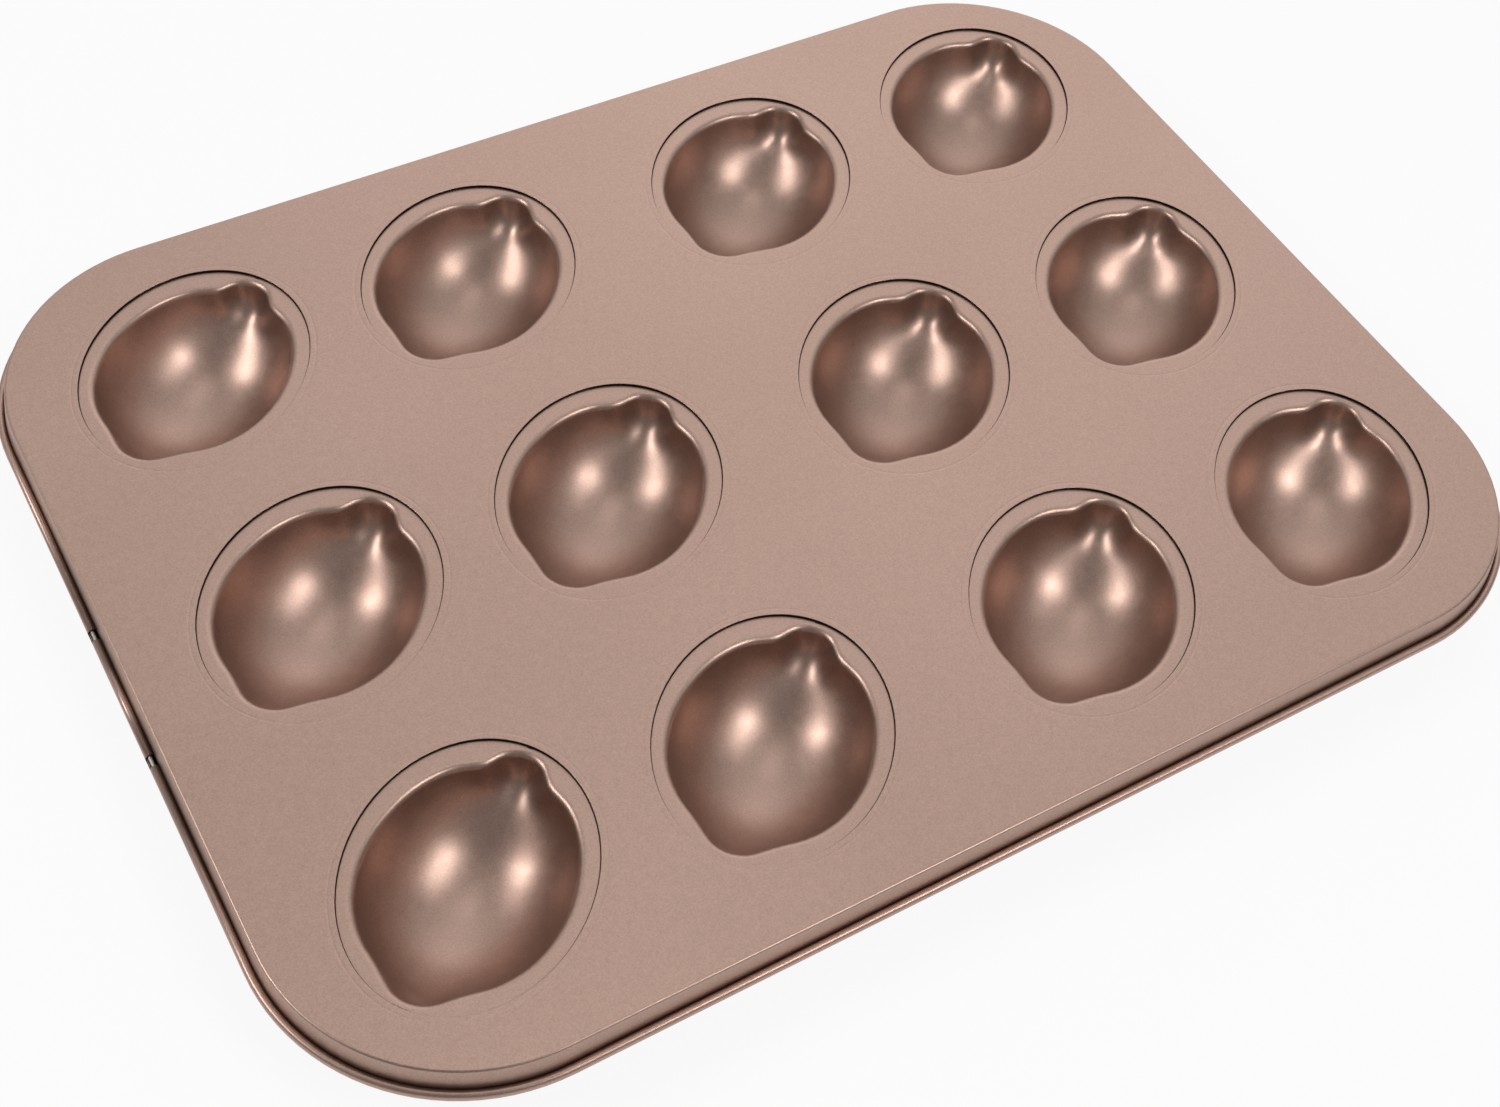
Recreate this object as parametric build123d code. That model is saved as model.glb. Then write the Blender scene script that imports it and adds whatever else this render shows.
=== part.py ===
from build123d import *

import os
from math import asin, cos, pi, radians, sin, sqrt

# A twelve-cavity lemon cake pan: one pressed steel sheet with a curled rim,
# and a steel wire held inside the curl. The sheet's deck, its rim and each of
# its cavities are solids of their own, which meet face to face. Units are
# millimetres, +Z is up, the long side runs along X, and the origin is on the
# surface that the pan stands on, under the middle of the pan.

# Sheet and rim wire
sheet = 0.4
wire_diameter = 0.8
wire_clearance = 0.1
wire_butt_gap = 0.6

# One lemon cavity, seen from above. Its long axis runs from tip to tip, and
# each place on the outline has a distance along that axis, a distance beside
# it, and the depth of the floor under the axis there. The floor is a bowl with
# a channel into each nose, whose end stands steeply.
lemon_turn = 45.4
far_tip = 32.3
far_nose_end = (31.2, 3.9, 7.0)
far_nose_side = (28.9, 6.0, 10.6)
far_neck = (26.2, 8.2, 12.3)
far_shoulder = (23.2, 13.4, 14.1)
far_flank = (15.6, 19.6, 19.5)
far_belly = (7.9, 22.5, 22.5)
belly = (-0.6, 23.8, 23.8)
near_belly = (-9.4, 22.9, 22.9)
near_flank = (-16.6, 20.2, 20.3)
near_shoulder = (-22.8, 16.0, 16.5)
near_neck = (-26.2, 11.8, 13.6)
near_nose_side = (-29.6, 8.0, 10.6)
near_nose_end = (-32.0, 4.4, 7.0)
near_tip = -33.0

# The lemon's axis lies above the land, which gives the walls their draft, and
# the lip between land and wall is eased
axis_above_land = 1.6
lip_ease = 1.2

# The shallow oval recess round each cavity
recess_depth = 0.7
side_land = 4.5
tip_land = 1.7

# Flat metal between the recesses, and from them to the skirt
land_between_outer_columns = 14.6
land_between_middle_columns = 26.0
land_between_rows = 19.6
end_border = 16.6
side_border = 14.6
row_count = 3

# Rim: the skirt drops, turns outwards and up, and curls round the wire
corner_radius = 49.5
edge_radius = 1.0
skirt_drop = 7.3
channel_radius = 1.6
outer_wall_rise = 1.3
curl_wrap = 250.0

# Two notches through the curl of the left short side
notch_length = 3.2
notch_spacing = 39.0
notch_shift = -1.7
notch_below_wire = 0.3

# The recess follows the lemon's outline
recess_half_width = belly[1] + side_land
recess_half_length = max(far_tip, -near_tip) + tip_land

# An oval turned by lemon_turn spans this much along X and along Y
turn_cos = cos(radians(lemon_turn))
turn_sin = sin(radians(lemon_turn))
recess_span_x = 2 * sqrt((recess_half_length * turn_cos) ** 2 + (recess_half_width * turn_sin) ** 2)
recess_span_y = 2 * sqrt((recess_half_length * turn_sin) ** 2 + (recess_half_width * turn_cos) ** 2)

# The cavities stand in four columns, wider apart in the middle, and three rows
column_pitch = recess_span_x + land_between_outer_columns
middle_pitch = recess_span_x + land_between_middle_columns
row_pitch = recess_span_y + land_between_rows
column_places = [
    -middle_pitch / 2 - column_pitch,
    -middle_pitch / 2,
    middle_pitch / 2,
    middle_pitch / 2 + column_pitch,
]
row_places = [row_pitch * (row - (row_count - 1) / 2) for row in range(row_count)]

# The skirt's outer face, measured from the middle of the pan
skirt_half_length = column_places[-1] + recess_span_x / 2 + end_border
skirt_half_width = row_places[-1] + recess_span_y / 2 + side_border

# Heights above the surface that the pan stands on
land_height = belly[2] + sheet - axis_above_land
deck_height = land_height + recess_depth

# The curl's section, measured outwards from the skirt's outer face and down
# from the deck
curl_inner_radius = wire_diameter / 2 + wire_clearance
curl_outer_radius = curl_inner_radius + sheet
rim_reach = 2 * channel_radius + sheet
curl_out = rim_reach - curl_outer_radius
curl_down = skirt_drop - outer_wall_rise

# How many flats stand for each round stretch, so that the pan stays light
bowl_sides = 6
oval_sides = 24
edge_sides = 2
channel_sides = 3
curl_sides = 5
wire_sides = 5

# Plain margins of the building blocks, none of which shows on the pan
deck_strip = 8.0
curl_margin = 0.2
beyond = 2.0


def lemon_places(growth):
    """Places on one side of the lemon, from tip to tip, moved outwards and down."""
    places = [
        (far_tip, 0, 0),
        far_nose_end,
        far_nose_side,
        far_neck,
        far_shoulder,
        far_flank,
        far_belly,
        belly,
        near_belly,
        near_flank,
        near_shoulder,
        near_neck,
        near_nose_side,
        near_nose_end,
        (near_tip, 0, 0),
    ]
    moved = [(far_tip + growth, 0, 0)]
    for before, place, after in zip(places, places[1:], places[2:]):
        outward = Vector(after[1] - before[1], before[0] - after[0]).normalized() * growth
        moved.append((place[0] + outward.X, place[1] + outward.Y, place[2] + growth))
    moved.append((near_tip - growth, 0, 0))
    return moved


def lemon_rib(wall_place, lip_place, growth, ease):
    """Places across the lemon: lip, wall, floor, wall and lip."""
    along, half_width, depth = wall_place
    steepest = asin((axis_above_land + growth + ease) / depth)
    rib = [(lip_place[0], lip_place[1], -growth)]
    for number in range(bowl_sides + 1):
        turn = steepest + (pi - 2 * steepest) * number / bowl_sides
        rib.append((along, half_width * cos(turn), axis_above_land - depth * sin(turn)))
    rib.append((lip_place[0], -lip_place[1], -growth))
    return rib


def lemon_block(growth):
    """The lemon's lower half with its lip, in flats, grown by a wall thickness."""
    ease = lip_ease - (2 - sqrt(2)) * growth
    walls = lemon_places(growth)
    lips = lemon_places(growth + ease)
    ribs = [lemon_rib(wall, lip, growth, ease) for wall, lip in zip(walls[1:-1], lips[1:-1])]
    far_end = (lips[0][0], 0, -growth)
    near_end = (lips[-1][0], 0, -growth)
    flats = []
    for first, second in zip(ribs, ribs[1:]):
        for here, there in zip(zip(first, first[1:]), zip(second, second[1:])):
            flats.append((here[0], here[1], there[0]))
            flats.append((here[1], there[1], there[0]))
    for end, rib in ((far_end, ribs[0]), (near_end, ribs[-1])):
        for first, second in zip(rib, rib[1:]):
            flats.append((first, second, end))
    one_side = [far_end] + [rib[0] for rib in ribs] + [near_end]
    flats.append(one_side + [rib[-1] for rib in reversed(ribs)])
    return Solid(Shell([Face(Wire.make_polygon(flat, close=True)) for flat in flats]))


def oval(growth, low, high):
    """An upright oval block on the recess's outline, grown outwards."""
    places = []
    for number in range(oval_sides):
        turn = 2 * pi * number / oval_sides
        places.append(((recess_half_length + growth) * cos(turn), (recess_half_width + growth) * sin(turn)))
    return Pos(0, 0, low) * extrude(make_face(Polyline(places, close=True)), high - low)


def cavity_tile():
    """One cavity with its lip, its land and the step up to the deck."""
    pad = oval(sheet, -sheet, recess_depth)
    return pad + lemon_block(sheet) - oval(0, 0, recess_depth + beyond) - lemon_block(0)


def rounded_block(inset, low, high):
    """A rounded rectangular block inside the skirt's outer face."""
    face = RectangleRounded(
        2 * (skirt_half_length - inset), 2 * (skirt_half_width - inset), corner_radius - inset
    )
    return Pos(0, 0, low) * extrude(face, high - low)


def arc_places(centre, radius, start, turn, sides):
    """Places along an arc, turned through an angle in degrees."""
    places = []
    for number in range(sides + 1):
        angle = radians(start + turn * number / sides)
        places.append((centre[0] + radius * cos(angle), centre[1] + radius * sin(angle)))
    return places


def rim_section():
    """The section of the deck's edge, the skirt, the channel and the curl."""
    edge = (-edge_radius, -edge_radius)
    channel = (channel_radius, -skirt_drop)
    curl = (curl_out, -curl_down)
    upper = [(-deck_strip, 0)]
    upper += arc_places(edge, edge_radius, 90, -90, edge_sides)
    upper += arc_places(channel, channel_radius, 180, 180, channel_sides)
    upper += arc_places(curl, curl_inner_radius, 0, curl_wrap, curl_sides)
    lower = [(-deck_strip, -sheet)]
    lower += arc_places(edge, edge_radius - sheet, 90, -90, edge_sides)
    lower += arc_places(channel, channel_radius + sheet, 180, 180, channel_sides)
    lower += arc_places(curl, curl_outer_radius, 0, curl_wrap, curl_sides)
    return make_face(Polyline(upper + lower[::-1], close=True))


def round_the_pan(section):
    """Carry a section, drawn outwards and upwards, round the skirt."""
    upright = Plane(origin=(0, 0, deck_height), x_dir=(1, 0, 0), z_dir=(0, -1, 0))
    side_x = skirt_half_length - corner_radius
    side_y = skirt_half_width - corner_radius
    standing = upright * section
    corner_axis = Axis((side_x, side_y, 0), (0, 0, 1))
    corner = revolve(Pos(skirt_half_length, side_y, 0) * standing, axis=corner_axis, revolution_arc=90)
    end = extrude(Pos(skirt_half_length, -side_y, 0) * standing, amount=2 * side_y, dir=(0, 1, 0))
    turned = Rot(0, 0, 90) * standing
    side = extrude(Pos(side_x, skirt_half_width, 0) * turned, amount=2 * side_x, dir=(-1, 0, 0))
    other_corner = mirror(corner, about=Plane.YZ)
    quarter_turns = [corner, end, side, other_corner]
    opposite = [Rot(0, 0, 180) * piece for piece in quarter_turns]
    return quarter_turns, opposite


def ring(section):
    """One closed ring round the pan."""
    first, second = round_the_pan(section)
    whole = first[0]
    for piece in first[1:] + second:
        whole = whole + piece
    return whole


def notch_box(across, tall):
    """A cutter whose low corner of the section is at the origin."""
    return Box(across, notch_length, tall, align=(Align.MIN, Align.CENTER, Align.MIN))


def notches():
    """The cutters that open the curl, down past its rolled-in edge, on the left short side."""
    outer_width = curl_outer_radius + beyond
    over = notch_box(outer_width, beyond + notch_below_wire)
    inner_width = curl_outer_radius + curl_margin
    inside = notch_box(inner_width, inner_width + beyond)
    height = deck_height - curl_down
    cutters = []
    for side in (-1, 1):
        place = notch_shift + side * notch_spacing / 2
        middle = Pos(-skirt_half_length - curl_out, place)
        cutters.append(middle * Pos(-outer_width, 0, height - notch_below_wire) * over)
        cutters.append(middle * Pos(0, 0, height - inner_width) * inside)
    return cutters


def deck_plate():
    """The flat sheet between the cavities, with an oval hole for each."""
    plate = rounded_block(deck_strip, deck_height - sheet, deck_height)
    hole = Rot(0, 0, lemon_turn) * oval(sheet, -beyond, recess_depth + beyond)
    return plate - [place * hole for place in cavity_places().values()]


def curled_rim():
    """The deck's edge, the skirt, the channel and the curl, with its notches."""
    return ring(rim_section()) - notches()


def cavity_places():
    """Where each cavity stands, under its column's and its row's number."""
    places = {}
    for column, x in enumerate(column_places, 1):
        for row, y in enumerate(row_places, 1):
            places[f"lemon_cavity_{column}_{row}"] = Pos(x, y, land_height)
    return places


def rim_wire():
    """The wire in the curl, with its two ends butted at the back."""
    section = Pos(curl_out, -curl_down) * RegularPolygon(wire_diameter / 2, wire_sides)
    wire = ring(section)
    gap = Box(wire_butt_gap, 4 * rim_reach, 4 * rim_reach)
    return wire - Pos(0, skirt_half_width + curl_out, deck_height - curl_down) * gap


def main():
    os.makedirs("parts", exist_ok=True)
    pieces = {"deck_plate": deck_plate(), "curled_rim": curled_rim(), "rim_wire": rim_wire()}
    tile = Rot(0, 0, lemon_turn) * cavity_tile()
    for name, place in cavity_places().items():
        pieces[name] = place * tile
    for name, piece in pieces.items():
        print(name, "solids", len(piece.solids()), "size", piece.bounding_box().size, "volume", piece.volume)
        export_step(piece, f"parts/{name}.step")


main()
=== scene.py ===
from math import cos, hypot, pi, radians, sin

import bpy
import numpy as np
from mathutils import Matrix, Vector
from mathutils.geometry import tessellate_polygon


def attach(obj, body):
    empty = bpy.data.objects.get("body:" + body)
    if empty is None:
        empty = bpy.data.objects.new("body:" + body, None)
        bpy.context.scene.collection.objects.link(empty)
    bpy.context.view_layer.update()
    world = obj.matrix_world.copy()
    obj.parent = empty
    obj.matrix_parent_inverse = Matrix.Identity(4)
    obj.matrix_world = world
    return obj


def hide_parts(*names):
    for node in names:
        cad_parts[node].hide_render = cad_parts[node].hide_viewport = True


# A twelve-cavity lemon cake pan of coated steel, on a plain white floor.
# Sizes are in millimetres until a mesh is made, which is in metres. The frame
# is the CAD model's: the long side runs along X, +Z is up, and the origin is
# on the floor under the middle of the pan.
mm = 0.001

# Sheet and rim wire
sheet = 0.4
wire_radius = 0.55
wire_clearance = 0.15
wire_butt_gap = 0.6

# The lemon seen from above: places on one side, from the far tip to the near
# tip, as a distance along its long axis, one beside it, and the floor's depth
# under the axis there. It lies a little askew in its oval recess.
lemon_turn = radians(45.4)
lemon_twist = radians(-3.8)
belly = (-0.6, 23.8, 23.8)
lemon_side = [
    (32.3, 0.0, 0.0),
    (31.2, 3.9, 7.0),
    (28.9, 6.0, 10.6),
    (26.2, 8.2, 12.3),
    (23.2, 13.4, 14.1),
    (15.6, 19.6, 19.5),
    (7.9, 22.5, 22.5),
    belly,
    (-9.4, 22.9, 22.9),
    (-16.6, 20.2, 20.3),
    (-22.8, 15.3, 16.5),
    (-26.2, 10.8, 13.6),
    (-29.6, 6.7, 10.4),
    (-31.4, 4.2, 7.0),
    (-32.4, 0.0, 0.0),
]
belly_place = belly[0]
belly_radius = belly[2]
axis_above_land = 1.6

# The eased lip: its radius, the share of it that the wall's lean is taken
# over, and the flat land kept round it
lip_radius = 1.8
lean_share = 0.9
lip_margin = 0.35
land_margin = 0.5

# The oval recess round each cavity, its step and the faint line outside it,
# with the flat margins kept beside them
recess_half_length = 34.7
recess_half_width = 28.3
recess_depth = 0.7
step_round = 0.13
step_lean = 0.02
step_margin = 0.12
step_foot = -step_lean - step_round - 0.15
line_distance = 1.65
line_half_width = 0.4
line_depth = 0.035
line_margin = 0.25
line_inside = 0.9
tile_margin = 3.0

# Flat metal between the ovals, and from them to the skirt
land_between_outer_columns = 14.6
land_between_middle_columns = 26.0
land_between_rows = 19.6
end_border = 16.6
side_border = 14.6

# An oval turned by lemon_turn spans this much along X and along Y
turn_cos = cos(lemon_turn)
turn_sin = sin(lemon_turn)
recess_span_x = 2 * hypot(recess_half_length * turn_cos, recess_half_width * turn_sin)
recess_span_y = 2 * hypot(recess_half_length * turn_sin, recess_half_width * turn_cos)

# Where the cavities stand
middle_column = (recess_span_x + land_between_middle_columns) / 2
outer_column = middle_column + recess_span_x + land_between_outer_columns
row_pitch = recess_span_y + land_between_rows
column_places = [-outer_column, -middle_column, middle_column, outer_column]
row_places = [-row_pitch, 0.0, row_pitch]

# Rim: deck edge, skirt, channel and the curl round the wire
skirt_half_length = outer_column + recess_span_x / 2 + end_border
skirt_half_width = row_pitch + recess_span_y / 2 + side_border
corner_radius = 49.5
deck_height = belly_radius + sheet - axis_above_land + recess_depth
deck_strip = 8.0
edge_margin = 0.3
edge_radius = 0.7
edge_out = 0.5
skirt_drop = 7.3
skirt_lean = 11.0
skirt_shares = (0.05, 0.5, 0.95)
channel_radius = 0.75
rim_reach = 3.6
channel_out = rim_reach - sheet - channel_radius
curl_inner_radius = wire_radius + wire_clearance
curl_outer_radius = curl_inner_radius + sheet
curl_out = rim_reach - curl_outer_radius
curl_down = 6.9
curl_wrap = 250.0

# The two notches in the curl of the left short side
notch_length = 3.2
notch_spacing = 39.0
notch_shift = -1.7
notch_places = [notch_shift - notch_spacing / 2, notch_shift + notch_spacing / 2]

# The coating's colours, in linear light, and its shine
coating_colour = (0.43, 0.292, 0.238)
coating_warm = (0.455, 0.31, 0.255)
coating_metallic = 0.97
coating_roughness = 0.39
roughness_spread = 0.03

# Painted shade in the creases: what is left of the coating's colour there, and
# the share of the recess's depth where the step's painted shade starts
painted_shade_tone = 0.06
step_shade_start = 0.1

# How fine the coating's flakes, mottle, drift and waves are, as noise scales
# per metre, and how high its grain and waves stand
flake_scale = 2600
mottle_scale = 420
drift_scale = 9
wave_scale = 16
grain_height = 0.02
wave_height = 0.6

# The bare wire's colours and the scales of its dulling and its streaks
steel_dark = (0.30, 0.27, 0.25)
steel_light = (0.46, 0.43, 0.41)
dulling_scale = 240
streak_scale = 1800
streak_height = 0.02

# The camera, found from the photograph: its place, lens and axes, in metres
camera_place = (-0.20302, -0.28358, 0.42885)
camera_lens = 49.075
camera_sensor = 36
camera_right = (0.86474, -0.49603, 0.07863)
camera_up = (0.35712, 0.71739, 0.59818)
camera_back = (-0.35312, -0.48919, 0.79750)

# Light: two soft lamps, which show in each bowl, a weak one above, and a
# surround that is brighter towards one side
right_lamp_direction = (0.29, -0.62, 0.73)
left_lamp_direction = (-0.73, 0.27, 0.63)
lamp_distance = 1.4
lamp_size = 0.5
right_lamp_power = 5.6
left_lamp_power = 5.6
top_lamp_direction = (0.03, 0.06, 1.0)
top_lamp_power = 0.8
surround_light = 0.75
bright_direction = (0.505, 0.67, 0.545)
surround_tones = [(0.0, 0.27), (0.45, 0.31), (0.8, 0.8), (0.93, 1.06), (1.0, 1.5)]
floor_glow = 0.9
floor_grey = 0.86
floor_half_size = 1.6

# How finely the meshes are cut
outline_steps = 120
search_rounds = 40
search_reach = 40.0
rays = 96
tip_crowding = 0.65
line_steps = 8
round_steps = 5
bowl_rings = 28
lip_rings = 8
under_bowl_rings = 14
under_lip_rings = 4
edge_steps = 8
channel_rows = 13
curl_steps = 16
corner_stations = 24
wire_sides = 16

# Places nearer than this count as one
same_place = 0.001


def periodic_spline(places, count):
    """Many places on a smooth closed curve through a few."""
    points = np.array(places, float)
    ahead = np.roll(points, -1, axis=0)
    spans = np.sqrt(np.linalg.norm(ahead - points, axis=1))
    number = len(points)
    matrix = np.zeros((number, number))
    right = np.zeros((number, 2))
    for i in range(number):
        before, here = spans[i - 1], spans[i]
        matrix[i, i - 1] = here
        matrix[i, i] = 2 * (before + here)
        matrix[i, (i + 1) % number] = before
        slope_before = (points[i] - points[i - 1]) / before
        slope_here = (ahead[i] - points[i]) / here
        right[i] = 3 * (here * slope_before + before * slope_here)
    slopes = np.linalg.solve(matrix, right)
    curve = []
    for i in range(number):
        steps = np.linspace(0, 1, count, endpoint=False)[:, None]
        span = spans[i]
        start, end = points[i], ahead[i]
        out, into = slopes[i] * span, slopes[(i + 1) % number] * span
        curve.append(
            start * (2 * steps**3 - 3 * steps**2 + 1)
            + out * (steps**3 - 2 * steps**2 + steps)
            + end * (3 * steps**2 - 2 * steps**3)
            + into * (steps**3 - steps**2)
        )
    return np.concatenate(curve)


def lemon_profile(column):
    """One measure of the lemon at every place along its axis, as rising lists."""
    side = [(place[0], place[column]) for place in lemon_side]
    other_side = [(along, -measure) for along, measure in side[-2:0:-1]]
    curve = periodic_spline(side + other_side, outline_steps)
    half = curve[: outline_steps * (len(side) - 1) + 1]
    order = np.argsort(half[:, 0])
    return half[order, 0], np.maximum(half[order, 1], 0)


radius_profile = lemon_profile(1)
floor_profile = lemon_profile(2)


def lemon_measure(profile, along):
    """The lemon's radius or its floor's depth at places along its axis."""
    return np.interp(along, profile[0], profile[1], left=0, right=0)


def ray_reach(angles, depth):
    """How far a level contour of the bowl lies from the belly, along each ray."""
    angles = angles - lemon_twist
    near = np.zeros_like(angles)
    far = np.full_like(angles, search_reach)
    for _ in range(search_rounds):
        middle = (near + far) / 2
        along = belly_place + middle * np.cos(angles)
        beside = middle * np.sin(angles)
        radius = np.maximum(lemon_measure(radius_profile, along), 1e-6)
        width_share = np.minimum(np.abs(beside) / radius, 1)
        below_axis = lemon_measure(floor_profile, along) * np.sqrt(1 - width_share**2)
        inside = below_axis > axis_above_land + depth
        near = np.where(inside, middle, near)
        far = np.where(inside, far, middle)
    return near


def oval_reach(angles, growth):
    """How far the oval lies from the belly, along each ray."""
    long, wide = recess_half_length + growth, recess_half_width + growth
    a = (np.cos(angles) / long) ** 2 + (np.sin(angles) / wide) ** 2
    b = belly_place * np.cos(angles) / long**2
    c = (belly_place / long) ** 2 - 1
    return (-b + np.sqrt(b**2 - a * c)) / a


def step_profile():
    """The deck's line and the step, as distances outside the recess and heights."""
    profile = [(tile_margin, 0), (line_distance + line_half_width + line_margin, 0)]
    for number in range(line_steps + 1):
        across = 2 * number / line_steps - 1
        hollow = -line_depth * (1 + cos(pi * across)) / 2
        profile.append((line_distance - across * line_half_width, hollow))
    profile.append((line_inside, 0))
    profile.append((step_round + step_margin, 0))
    for number in range(round_steps + 1):
        turn = pi / 2 * number / round_steps
        profile.append((step_round * (1 - sin(turn)), -step_round * (1 - cos(turn))))
    for number in range(round_steps + 1):
        turn = pi / 2 * number / round_steps
        out = -step_lean - step_round * (1 - cos(turn))
        profile.append((out, -recess_depth + step_round * (1 - sin(turn))))
    profile.append((step_foot, -recess_depth))
    return [(out, height + recess_depth) for out, height in profile]


def tile_rings(lip_steps, bowl_steps):
    """Level rings of one cavity, from the deck to the floor, as arrays of places."""
    even = np.linspace(0, 2 * pi, rays, endpoint=False)
    angles = even - tip_crowding * np.sin(2 * even) / 2
    rings = []
    for out, height in step_profile():
        rings.append((oval_reach(angles, out), np.full(rays, height)))

    mouth = ray_reach(angles, 0.0)
    growth = np.roll(mouth, -1) - np.roll(mouth, 1)
    turning = (np.roll(angles, -1) - np.roll(angles, 1)) % (2 * pi)
    squareness = 1 / np.sqrt(1 + (growth / turning / mouth) ** 2)
    wall_depth = lip_radius * lean_share
    wall = ray_reach(angles, wall_depth)
    lean = np.arctan((mouth - wall) * squareness / wall_depth)
    turn_depth = lip_radius * (1 - np.sin(lean))
    turn_place = ray_reach(angles, turn_depth)
    centre = turn_place + lip_radius * np.cos(lean) / squareness
    land_ring = oval_reach(angles, step_foot)
    rings.append(((land_ring + centre + land_margin) / 2, np.zeros(rays)))
    rings.append((centre + lip_margin, np.zeros(rays)))
    for number in range(lip_steps + 1):
        turn = (pi / 2 - lean) * number / lip_steps
        reach = centre - lip_radius * np.sin(turn) / squareness
        rings.append((reach, -lip_radius * (1 - np.cos(turn))))

    first = np.arcsin((axis_above_land + turn_depth) / belly_radius)
    for number in range(1, bowl_steps):
        share = number / bowl_steps
        depth = belly_radius * np.sin(first + (pi / 2 - first) * share) - axis_above_land
        rings.append((ray_reach(angles, depth), -depth))
    places = []
    for reach, height in rings:
        along = belly_place + reach * np.cos(angles)
        beside = reach * np.sin(angles)
        place_x = along * turn_cos - beside * turn_sin
        place_y = along * turn_sin + beside * turn_cos
        places.append(np.stack([place_x, place_y, height], axis=1))
    floor = [belly_place * turn_cos, belly_place * turn_sin, axis_above_land - belly_radius]
    return np.array(places), np.array(floor)


class Shell:
    """Vertices and faces of one mesh while it is put together. Each vertex has
    a depth of painted shade, which is 1 in the creases, where the coating's colour is darkened to stand in
    for shade."""

    def __init__(self):
        self.places = []
        self.shades = []
        self.faces = []

    def add(self, place, shade=0.0):
        self.places.append(tuple(place))
        self.shades.append(shade)
        return len(self.places) - 1

    def add_ring(self, ring, shade=0.0):
        return [self.add(place, shade) for place in ring]

    def strip(self, outer, inner, closed=True):
        """Faces between two rows of vertices that run the same way."""
        count = len(outer)
        for i in range(count if closed else count - 1):
            after = (i + 1) % count
            self.faces.append((outer[i], outer[after], inner[after], inner[i]))

    def fan(self, ring, middle):
        for i in range(len(ring)):
            self.faces.append((ring[i], ring[(i + 1) % len(ring)], middle))

    def mesh(self, name):
        mesh = bpy.data.meshes.new(name)
        mesh.from_pydata([[c * mm for c in place] for place in self.places], [], self.faces)
        crease_shade = mesh.attributes.new("crease_shade", "FLOAT", "POINT")
        crease_shade.data.foreach_set("value", self.shades)
        mesh.shade_smooth()
        return mesh


def sunk(rings, floor, distance):
    """Rings moved square to the surface, to the underside of the sheet."""
    around = np.roll(rings, -1, axis=1) - np.roll(rings, 1, axis=1)
    inward = np.gradient(rings, axis=0)
    square = np.cross(inward, around)
    square /= np.linalg.norm(square, axis=2, keepdims=True)
    square *= np.sign(square[0, 0, 2])
    return rings - square * distance, floor - np.array([0, 0, distance])


step_rows = len(step_profile())


def add_tile(shell, middle, rings, floor, upwards):
    """Puts one cavity in the shell and returns its outermost row of vertices."""
    land = np.array([middle[0], middle[1], deck_height - recess_depth])
    rows = []
    for ring in rings:
        # Painted shade: rows of the upper face on the recess's step get shade 1, which darkens the
        # coating's colour there
        below_deck = recess_depth - ring[0][2]
        lowered = below_deck > step_shade_start * recess_depth
        in_step = upwards and lowered and len(rows) < step_rows - 1
        rows.append(shell.add_ring(ring + land, 1.0 if in_step else 0.0))
    for outer, inner in zip(rows, rows[1:]):
        if upwards:
            shell.strip(outer, inner)
        else:
            shell.strip(inner, outer)
    deepest = shell.add(floor + land)
    if upwards:
        shell.fan(rows[-1], deepest)
    else:
        shell.fan(rows[-1][::-1], deepest)
    return rows[0]


def rim_stations():
    """Places round the skirt with their outward directions, and notch marks."""
    side_x = skirt_half_length - corner_radius
    side_y = skirt_half_width - corner_radius
    stations = []
    corners = [(side_x, -side_y, -90), (side_x, side_y, 0), (-side_x, side_y, 90), (-side_x, -side_y, 180)]
    for x, y, start in corners:
        for number in range(corner_stations + 1):
            angle = radians(start + 90 * number / corner_stations)
            stations.append(((x + corner_radius * cos(angle), y + corner_radius * sin(angle)), angle))
        if start == 90:
            for place in sorted(notch_places, reverse=True):
                for edge in (place + notch_length / 2, place - notch_length / 2):
                    stations.append(((-skirt_half_length, edge), pi))
    return stations


def arc(centre, radius, start, turn, steps):
    """Places along an arc of the rim's section, turned in degrees."""
    places = []
    for number in range(steps + 1):
        angle = radians(start + turn * number / steps)
        places.append((centre[0] + radius * cos(angle), centre[1] + radius * sin(angle)))
    return places


def rim_lines():
    """The rim's section: the sheet's upper face and its lower face, and where
    the curl starts in each."""
    edge = (edge_out - edge_radius, -edge_radius)
    channel = (channel_out, -skirt_drop)
    curl = (curl_out, -curl_down)
    lines = []
    for edge_reach, channel_reach, curl_reach, height in (
        (edge_radius, channel_radius, curl_inner_radius, 0),
        (edge_radius - sheet, channel_radius + sheet, curl_outer_radius, -sheet),
    ):
        top = arc(edge, edge_reach, 90, skirt_lean - 90, edge_steps)
        bottom = arc(channel, channel_reach, 180 + skirt_lean, 180 - skirt_lean, channel_rows - 1)
        line = [(-deck_strip, height), (edge[0] - edge_margin, height)] + top
        for share in skirt_shares:
            across = top[-1][0] * (1 - share) + bottom[0][0] * share
            down = top[-1][1] * (1 - share) + bottom[0][1] * share
            line.append((across, down))
        line += bottom
        curl_start = len(line)
        lines.append(line + arc(curl, curl_reach, 0, curl_wrap, curl_steps))
    upper, lower = lines
    return upper, lower, curl_start


def standing(station, out, up):
    """A place of the rim's section, at a station round the skirt."""
    (x, y), angle = station
    return (x + out * cos(angle), y + out * sin(angle), deck_height + up)


def in_notch(first, second):
    """Whether the stretch between two stations is one of the notches."""
    (x, y), _ = first
    (other_x, other_y), _ = second
    if max(x, other_x) > -skirt_half_length + same_place:
        return False
    return any(abs((y + other_y) / 2 - place) < notch_length / 2 for place in notch_places)


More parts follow.
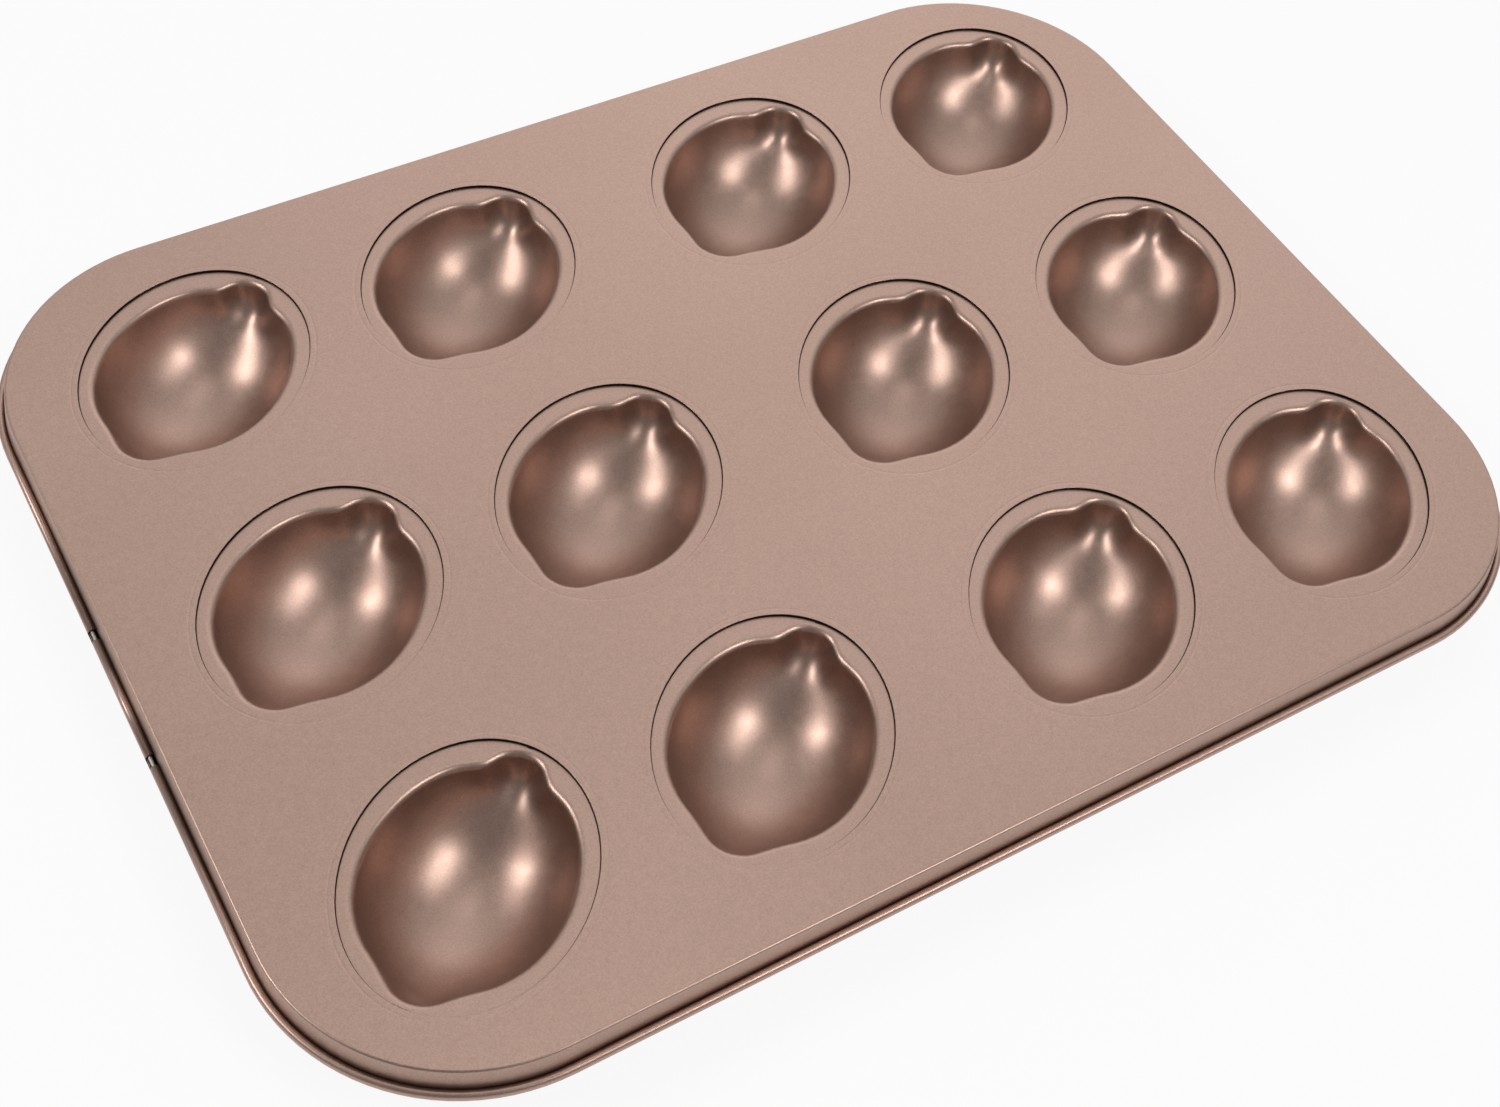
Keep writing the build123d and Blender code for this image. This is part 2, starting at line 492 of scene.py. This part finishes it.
def add_rim(shell):
    """Puts the rim in the shell and returns its innermost rows of vertices."""
    stations = rim_stations()
    upper, lower, curl_start = rim_lines()
    tops = []
    for station in stations:
        row = []
        for number, (out, up) in enumerate(upper):
            # Painted shade: the lower skirt and the channel get shade 1, which darkens the coating's
            # colour where the gap under the deck edge lies in shade
            in_channel = curl_start - channel_rows - 1 <= number < curl_start
            row.append(shell.add(standing(station, out, up), 1.0 if in_channel else 0.0))
        tops.append(row)
    unders = [shell.add_ring([standing(s, out, up) for out, up in lower]) for s in stations]
    for i, here in enumerate(stations):
        after = (i + 1) % len(stations)
        cut = in_notch(here, stations[after])
        last = curl_start if cut else len(upper) - 1
        top, next_top = tops[i][: last + 1], tops[after][: last + 1]
        under, next_under = unders[i][: last + 1], unders[after][: last + 1]
        shell.strip(top, next_top, closed=False)
        shell.strip(next_under, under, closed=False)
        shell.faces.append((top[-1], next_top[-1], next_under[-1], under[-1]))
        if cut:
            shell.strip(tops[i][curl_start:], unders[i][curl_start:], closed=False)
            shell.strip(unders[after][curl_start:], tops[after][curl_start:], closed=False)
    return [top[0] for top in tops], [under[0] for under in unders]


def fill_deck(shell, border, holes, upwards):
    """Flat faces between the rim and the cavities."""
    rows = [border] + holes
    loops = [[Vector(shell.places[i]) for i in row] for row in rows]
    numbers = [i for row in rows for i in row]
    for triangle in tessellate_polygon(loops):
        corners = [numbers[i] for i in triangle]
        a, b, c = [Vector(shell.places[i]) for i in corners]
        facing_up = (b - a).cross(c - a).z > 0
        shell.faces.append(tuple(corners if facing_up == upwards else corners[::-1]))


def pan_mesh():
    """The whole pressed sheet: deck, cavities, skirt, channel and curl."""
    shell = Shell()
    inner_border, under_border = add_rim(shell)
    for border, lip_steps, bowl_steps, upwards in (
        (inner_border, lip_rings, bowl_rings, True),
        (under_border, under_lip_rings, under_bowl_rings, False),
    ):
        rings, floor = tile_rings(lip_steps, bowl_steps)
        if not upwards:
            rings, floor = sunk(rings, floor, sheet)
        holes = []
        for x in column_places:
            for y in row_places:
                holes.append(add_tile(shell, (x, y), rings, floor, upwards))
        fill_deck(shell, border, holes, upwards)
    return shell.mesh("pan_sheet_mesh")


def wire_mesh():
    """The round wire in the curl, with its ends butted at the back."""
    stations = rim_stations()
    second_half = 2 * (corner_stations + 1)
    start = ((-wire_butt_gap / 2, skirt_half_width), pi / 2)
    end = ((wire_butt_gap / 2, skirt_half_width), pi / 2)
    path = [start] + stations[second_half:] + stations[:second_half] + [end]
    shell = Shell()
    circle = arc((curl_out, -curl_down), wire_radius, 0, 360, wire_sides)[:wire_sides]
    rings = [shell.add_ring([standing(s, out, up) for out, up in circle]) for s in path]
    for ring, after in zip(rings, rings[1:]):
        shell.strip(ring, after)
    first = shell.add(standing(path[0], curl_out, -curl_down))
    last = shell.add(standing(path[-1], curl_out, -curl_down))
    shell.fan(rings[0], first)
    shell.fan(rings[-1][::-1], last)
    return shell.mesh("rim_wire_mesh")


def new_material(name):
    """A material with an empty Principled shader, and its tree."""
    material = bpy.data.materials.new(name)
    material.use_nodes = True
    tree = material.node_tree
    shader = tree.nodes["Principled BSDF"]
    return material, tree, shader


def noise(tree, place, scale, detail, roughness=0.5):
    """A noise texture in object space, in metres."""
    node = tree.nodes.new("ShaderNodeTexNoise")
    node.inputs["Scale"].default_value = scale
    node.inputs["Detail"].default_value = detail
    node.inputs["Roughness"].default_value = roughness
    tree.links.new(place.outputs["Object"], node.inputs["Vector"])
    return node


def ramp(tree, source, stops):
    """A colour ramp through (position, grey or colour) stops."""
    node = tree.nodes.new("ShaderNodeValToRGB")
    elements = node.color_ramp.elements
    for _ in stops[2:]:
        elements.new(0.5)
    for element, (position, colour) in zip(elements, stops):
        element.position = position
        level = colour if isinstance(colour, tuple) else (colour, colour, colour)
        element.color = (*level, 1)
    tree.links.new(source, node.inputs["Fac"])
    return node


def mixed(tree, kind, first, second, amount):
    """Two colours put together, the second by a fixed amount."""
    node = tree.nodes.new("ShaderNodeMix")
    node.data_type = "RGBA"
    node.blend_type = kind
    node.inputs["Factor"].default_value = amount
    tree.links.new(first, node.inputs["A"])
    tree.links.new(second, node.inputs["B"])
    return node.outputs["Result"]


def coating():
    """Champagne non-stick coating: half matt, with fine metal flakes, and painted shade in the creases."""
    material, tree, shader = new_material("champagne_coating")
    place = tree.nodes.new("ShaderNodeTexCoord")
    flakes = noise(tree, place, flake_scale, 2, 0.6)
    mottle = noise(tree, place, mottle_scale, 3, 0.55)
    drift = noise(tree, place, drift_scale, 2)
    flake_tone = ramp(tree, flakes.outputs["Fac"], [(0.3, 0.88), (0.5, 1.0), (0.72, 1.12)])
    mottle_tone = ramp(tree, mottle.outputs["Fac"], [(0.3, 0.97), (0.7, 1.03)])
    tint = ramp(tree, drift.outputs["Fac"], [(0.35, coating_colour), (0.65, coating_warm)])
    colour = mixed(tree, "MULTIPLY", tint.outputs["Color"], flake_tone.outputs["Color"], 1.0)
    colour = mixed(tree, "MULTIPLY", colour, mottle_tone.outputs["Color"], 1.0)
    # Painted shade: the coating's colour is darkened by the per-vertex shade attribute, on the recess's
    # step and on the rim's lower skirt and channel, where shade falls
    crease_shade = tree.nodes.new("ShaderNodeAttribute")
    crease_shade.attribute_name = "crease_shade"
    dulling_and_painted_shade = ramp(tree, crease_shade.outputs["Fac"], [(0.0, 1.0), (1.0, painted_shade_tone)])
    colour = mixed(tree, "MULTIPLY", colour, dulling_and_painted_shade.outputs["Color"], 1.0)
    tree.links.new(colour, shader.inputs["Base Color"])
    shader.inputs["Metallic"].default_value = coating_metallic
    smooth = coating_roughness - roughness_spread
    rough = coating_roughness + roughness_spread
    gloss = ramp(tree, mottle.outputs["Fac"], [(0.25, smooth), (0.75, rough)])
    tree.links.new(gloss.outputs["Color"], shader.inputs["Roughness"])
    grain = tree.nodes.new("ShaderNodeBump")
    grain.inputs["Strength"].default_value = 0.25
    grain.inputs["Distance"].default_value = grain_height * mm
    tree.links.new(flakes.outputs["Fac"], grain.inputs["Height"])
    waves = noise(tree, place, wave_scale, 1)
    sheet_waves = tree.nodes.new("ShaderNodeBump")
    sheet_waves.inputs["Strength"].default_value = 0.35
    sheet_waves.inputs["Distance"].default_value = wave_height * mm
    tree.links.new(waves.outputs["Fac"], sheet_waves.inputs["Height"])
    tree.links.new(grain.outputs["Normal"], sheet_waves.inputs["Normal"])
    tree.links.new(sheet_waves.outputs["Normal"], shader.inputs["Normal"])
    return material


def bare_steel():
    """Drawn steel wire with fine streaks and a little dulling."""
    material, tree, shader = new_material("bare_steel")
    place = tree.nodes.new("ShaderNodeTexCoord")
    dulling_and_painted_shade = noise(tree, place, dulling_scale, 3)
    tone = ramp(tree, dulling_and_painted_shade.outputs["Fac"], [(0.3, steel_dark), (0.7, steel_light)])
    tree.links.new(tone.outputs["Color"], shader.inputs["Base Color"])
    shader.inputs["Metallic"].default_value = 1.0
    gloss = ramp(tree, dulling_and_painted_shade.outputs["Fac"], [(0.3, 0.32), (0.7, 0.48)])
    tree.links.new(gloss.outputs["Color"], shader.inputs["Roughness"])
    streaks = noise(tree, place, streak_scale, 2)
    bump = tree.nodes.new("ShaderNodeBump")
    bump.inputs["Strength"].default_value = 0.2
    bump.inputs["Distance"].default_value = streak_height * mm
    tree.links.new(streaks.outputs["Fac"], bump.inputs["Height"])
    tree.links.new(bump.outputs["Normal"], shader.inputs["Normal"])
    return material


def seen_directly(tree):
    """1 where the camera or a mirror-like surface looks, and 0 elsewhere."""
    path = tree.nodes.new("ShaderNodeLightPath")
    total = path.outputs["Is Camera Ray"]
    for kind in ("Is Glossy Ray", "Is Transmission Ray"):
        node = tree.nodes.new("ShaderNodeMath")
        node.operation = "MAXIMUM"
        tree.links.new(total, node.inputs[0])
        tree.links.new(path.outputs[kind], node.inputs[1])
        total = node.outputs["Value"]
    return total


def scaled(tree, source, amount, offset=0.0):
    """A value times an amount, plus an offset."""
    node = tree.nodes.new("ShaderNodeMath")
    node.operation = "MULTIPLY_ADD"
    node.inputs[1].default_value = amount
    node.inputs[2].default_value = offset
    tree.links.new(source, node.inputs[0])
    return node.outputs["Value"]


def floor_and_backdrop():
    """A plain white floor that keeps the pan's soft shadow and is clear from below."""
    material = bpy.data.materials.new("white_floor")
    material.use_nodes = True
    tree = material.node_tree
    tree.nodes.clear()
    matt = tree.nodes.new("ShaderNodeBsdfDiffuse")
    matt.inputs["Color"].default_value = (floor_grey, floor_grey, floor_grey, 1)
    glow = tree.nodes.new("ShaderNodeEmission")
    glow.inputs["Strength"].default_value = 1.0
    mix = tree.nodes.new("ShaderNodeMixShader")
    out = tree.nodes.new("ShaderNodeOutputMaterial")
    tree.links.new(scaled(tree, seen_directly(tree), floor_glow), mix.inputs["Fac"])
    tree.links.new(matt.outputs["BSDF"], mix.inputs[1])
    tree.links.new(glow.outputs["Emission"], mix.inputs[2])
    side = tree.nodes.new("ShaderNodeNewGeometry")
    clear = tree.nodes.new("ShaderNodeBsdfTransparent")
    both = tree.nodes.new("ShaderNodeMixShader")
    tree.links.new(side.outputs["Backfacing"], both.inputs["Fac"])
    tree.links.new(mix.outputs["Shader"], both.inputs[1])
    tree.links.new(clear.outputs["BSDF"], both.inputs[2])
    tree.links.new(both.outputs["Shader"], out.inputs["Surface"])
    mesh = bpy.data.meshes.new("floor_mesh")
    reach = floor_half_size
    corners = [(-reach, -reach, 0), (reach, -reach, 0), (reach, reach, 0), (-reach, reach, 0)]
    mesh.from_pydata(corners, [], [(0, 1, 2, 3)])
    mesh.materials.append(material)
    floor = bpy.data.objects.new("floor", mesh)
    bpy.context.scene.collection.objects.link(floor)


def white_world():
    """A surround that is white to the camera. In the pan's reflections it runs
    from bright on one side to grey."""
    world = bpy.data.worlds.new("white_surround")
    bpy.context.scene.world = world
    world.use_nodes = True
    tree = world.node_tree
    background = tree.nodes["Background"]
    place = tree.nodes.new("ShaderNodeTexCoord")
    toward = tree.nodes.new("ShaderNodeVectorMath")
    toward.operation = "DOT_PRODUCT"
    toward.inputs[1].default_value = Vector(bright_direction).normalized()
    tree.links.new(place.outputs["Generated"], toward.inputs[0])
    tone = ramp(tree, toward.outputs["Value"], surround_tones)
    path = tree.nodes.new("ShaderNodeLightPath")
    colour = tree.nodes.new("ShaderNodeMix")
    colour.data_type = "RGBA"
    tree.links.new(path.outputs["Is Camera Ray"], colour.inputs["Factor"])
    tree.links.new(tone.outputs["Color"], colour.inputs["A"])
    colour.inputs["B"].default_value = (1, 1, 1, 1)
    tree.links.new(colour.outputs["Result"], background.inputs["Color"])
    strength = scaled(tree, seen_directly(tree), 1.0 - surround_light, surround_light)
    tree.links.new(strength, background.inputs["Strength"])


def add_lamp(name, direction, power):
    """A round soft lamp that faces the pan."""
    light = bpy.data.lights.new(name, "AREA")
    light.shape = "DISK"
    light.size = lamp_size
    light.energy = power
    lamp = bpy.data.objects.new(name, light)
    toward = Vector(direction).normalized()
    lamp.location = toward * lamp_distance
    lamp.rotation_mode = "QUATERNION"
    lamp.rotation_quaternion = toward.to_track_quat("Z", "Y")
    bpy.context.scene.collection.objects.link(lamp)


def add_camera():
    """The camera at the photograph's place and angle."""
    data = bpy.data.cameras.new("camera")
    data.sensor_width = camera_sensor
    data.lens = camera_lens
    camera = bpy.data.objects.new("camera", data)
    turn = Matrix([camera_right, camera_up, camera_back]).transposed()
    camera.matrix_world = Matrix.Translation(Vector(camera_place)) @ turn.to_4x4()
    data.clip_start = 0.01
    bpy.context.scene.collection.objects.link(camera)
    bpy.context.scene.camera = camera


def add_piece(name, mesh, material, nodes):
    """A finished piece that stands for CAD nodes."""
    mesh.materials.append(material)
    piece = bpy.data.objects.new(name, mesh)
    bpy.context.scene.collection.objects.link(piece)
    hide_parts(*nodes)
    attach(piece, "root")
    return piece


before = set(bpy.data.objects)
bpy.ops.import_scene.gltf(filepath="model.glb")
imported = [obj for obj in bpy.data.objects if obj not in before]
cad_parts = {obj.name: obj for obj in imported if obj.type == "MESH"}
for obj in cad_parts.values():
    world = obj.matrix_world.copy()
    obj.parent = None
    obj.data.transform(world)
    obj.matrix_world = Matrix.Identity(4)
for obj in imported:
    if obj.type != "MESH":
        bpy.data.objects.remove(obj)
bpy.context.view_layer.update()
pressed_nodes = sorted(set(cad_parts) - {"rim_wire"})
add_piece("pressed_sheet", pan_mesh(), coating(), pressed_nodes)
add_piece("edge_wire", wire_mesh(), bare_steel(), ["rim_wire"])
floor_and_backdrop()
white_world()
add_lamp("right_softbox", right_lamp_direction, right_lamp_power)
add_lamp("left_softbox", left_lamp_direction, left_lamp_power)
add_lamp("top_softbox", top_lamp_direction, top_lamp_power)
add_camera()
bpy.context.scene.view_settings.view_transform = "Standard"
